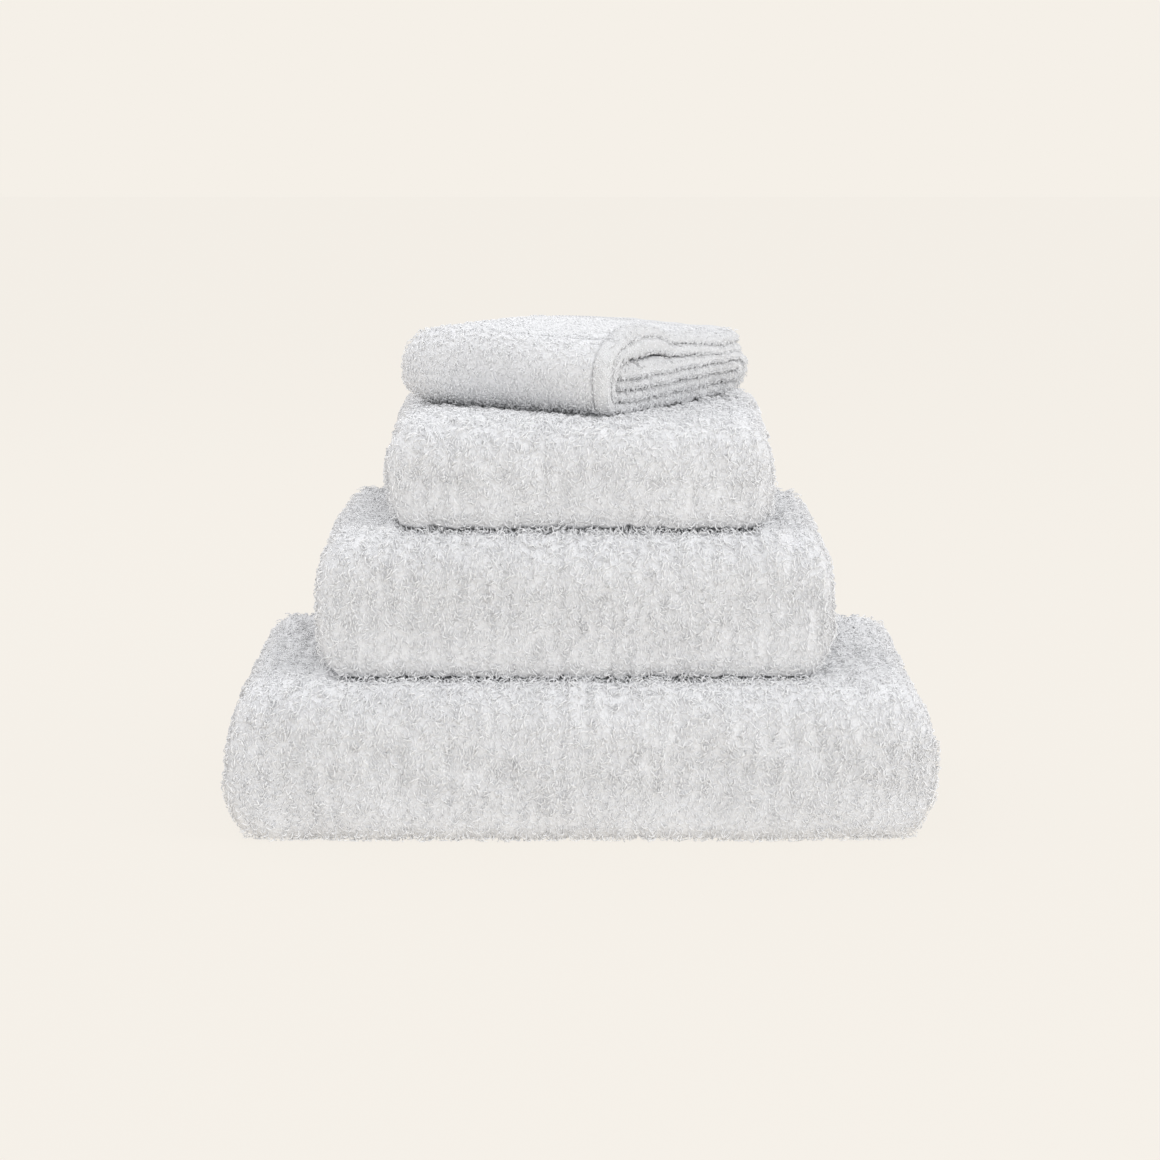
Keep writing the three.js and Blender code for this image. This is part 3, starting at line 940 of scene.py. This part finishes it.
joints = {joint["name"]: joint for joint in frame["joints"]}
hinge = joints["guest_flap_unfold"]
guest_towel.yaw = math.atan2(hinge["axis"][1], hinge["axis"][0])
along_fold = np.array([math.cos(guest_towel.yaw), math.sin(guest_towel.yaw), 0.0])
guest_corner = np.array(hinge["pos_m"])
guest_corner[2] = node_low("guest_towel_base_cloth")[2]
guest_towel.corner = guest_corner - along_fold * guest_towel.half_width


def everywhere(normal, z):
    return np.ones(len(z), bool)


def cover(lower, upper):
    """Tells a towel where the one above lies on it, in the lower one's own frame."""
    centre = upper.in_stack(np.array([0.0, upper.depth / 2, 0.0])) - lower.corner
    half = (upper.half_width - upper.inset, upper.depth / 2 - PRESSED_INSIDE)
    lower.covered = (centre[:2], half, upper.yaw)


cover(bath_sheet, bath_towel)
cover(bath_towel, hand_towel)
cover(hand_towel, guest_towel)

for towel in (bath_sheet, bath_towel, hand_towel):
    cloth_part(
        towel,
        towel.name,
        towel.name,
        (0.0, towel.along.length),
        (f"{towel.name}_end_hem_a", f"{towel.name}_end_hem_b"),
    )

cut = HEM_GAP / 2
base_range = (0.0, guest_towel.bend_start - cut)
bend_range = (guest_towel.bend_start, guest_towel.bend_end)
flap_range = (guest_towel.bend_end + cut, guest_towel.along.length)
low_point = guest_corner + np.array([0, 0, guest_towel.strip])
high_point = guest_corner + np.array([0, 0, 2 * guest_towel.pitch])

cloth_part(
    guest_towel,
    "guest_towel_base",
    "guest_towel",
    base_range,
    ("guest_towel_base_end_hem", None),
    shown_inside=lambda normal, z: (normal[:, 2] > 0.5) & (z > guest_towel.strip),
)
cloth_part(
    guest_towel,
    "guest_towel_bend",
    ("guest_towel", "guest_flap", tuple(low_point), tuple(high_point)),
    bend_range,
    (None, None),
    nodes=False,
    shown_inside=everywhere,
)
cloth_part(
    guest_towel,
    "guest_towel_flap",
    "guest_flap",
    flap_range,
    (None, "guest_towel_flap_end_hem"),
    shown_inside=lambda normal, z: normal[:, 2] < -0.5,
)

# ------------------------------------------------------------------ floor, light and camera


MIDDLE = (0, 0, 0.17)  # what the lights are aimed at
FLOOR_REACH = 8.0
FLOOR_DROP = 0.5 * MM
FLOOR_GLOW = 0.94
FLOOR_COLOUR = (0.05, 0.048, 0.045)
BACKDROP = (0.913, 0.871, 0.807)
SKY_STRENGTH = 0.79
SKY_COLOUR = (0.985, 0.985, 1.0)
COOL_LIGHT = (0.93, 0.965, 1.0)  # makes up for the warm light that comes back off the floor
NEUTRAL_LIGHT = (0.98, 0.99, 1.0)


def make_floor():
    """A pale floor that mostly glows, so that it stays as even as the backdrop behind it."""
    corners = np.array([[-1, -1, 0], [1, -1, 0], [1, 1, 0], [-1, 1, 0]]) * FLOOR_REACH
    paper, shader = principled("backdrop_paper", FLOOR_COLOUR, 0.95)
    shader.inputs["Specular IOR Level"].default_value = 0.0
    shader.inputs["Emission Color"].default_value = (*BACKDROP, 1)
    shader.inputs["Emission Strength"].default_value = FLOOR_GLOW
    floor = new_piece("floor", corners, np.array([[0, 1, 2, 3]]), [paper])
    floor.location.z = -FLOOR_DROP


def area_light(name, location, size, power, colour):
    data = bpy.data.lights.new(name, "AREA")
    data.shape = "DISK"
    data.size = size
    data.energy = power
    data.color = colour
    light = bpy.data.objects.new(name, data)
    light.location = location
    aim = Vector(MIDDLE) - Vector(location)
    light.rotation_euler = aim.to_track_quat("-Z", "Y").to_euler()
    bpy.context.collection.objects.link(light)


def make_world():
    """An even cream backdrop to look at, and an even white sky to light the towels."""
    world = bpy.data.worlds.new("studio")
    bpy.context.scene.world = world
    world.use_nodes = True
    tree = world.node_tree
    seen = tree.nodes["Background"]
    seen.inputs["Color"].default_value = (*BACKDROP, 1)
    sky = tree.nodes.new("ShaderNodeBackground")
    sky.inputs["Color"].default_value = (*SKY_COLOUR, 1)
    sky.inputs["Strength"].default_value = SKY_STRENGTH
    path = tree.nodes.new("ShaderNodeLightPath")
    mix = tree.nodes.new("ShaderNodeMixShader")
    tree.links.new(path.outputs["Is Camera Ray"], mix.inputs["Fac"])
    tree.links.new(sky.outputs["Background"], mix.inputs[1])
    tree.links.new(seen.outputs["Background"], mix.inputs[2])
    tree.links.new(mix.outputs["Shader"], tree.nodes["World Output"].inputs["Surface"])


CAMERA_DISTANCE = 2.30  # in front of the bath sheet
CAMERA_HEIGHT = 0.575
CAMERA_TILT = math.radians(9.61)  # down from level
CAMERA_LENS = 105
CAMERA_SENSOR = 36


def make_camera():
    data = bpy.data.cameras.new("camera")
    data.sensor_width = CAMERA_SENSOR
    data.lens = CAMERA_LENS
    camera = bpy.data.objects.new("camera", data)
    front = node_low("bath_sheet_cloth")[1]
    camera.location = (0.0, front - CAMERA_DISTANCE, CAMERA_HEIGHT)
    camera.rotation_euler = (math.pi / 2 - CAMERA_TILT, 0, 0)
    bpy.context.collection.objects.link(camera)
    bpy.context.scene.camera = camera


make_floor()
make_world()
area_light("key", (1.4, -0.8, 2.1), 1.5, 16, NEUTRAL_LIGHT)
area_light("side", (-1.3, 0.1, 1.8), 1.5, 4, NEUTRAL_LIGHT)
area_light("fill", (0.3, -2.3, 0.6), 0.8, 9, COOL_LIGHT)
area_light("rear", (-0.9, 1.4, 1.9), 1.6, 12, NEUTRAL_LIGHT)
make_camera()
bpy.context.scene.view_settings.view_transform = "Standard"
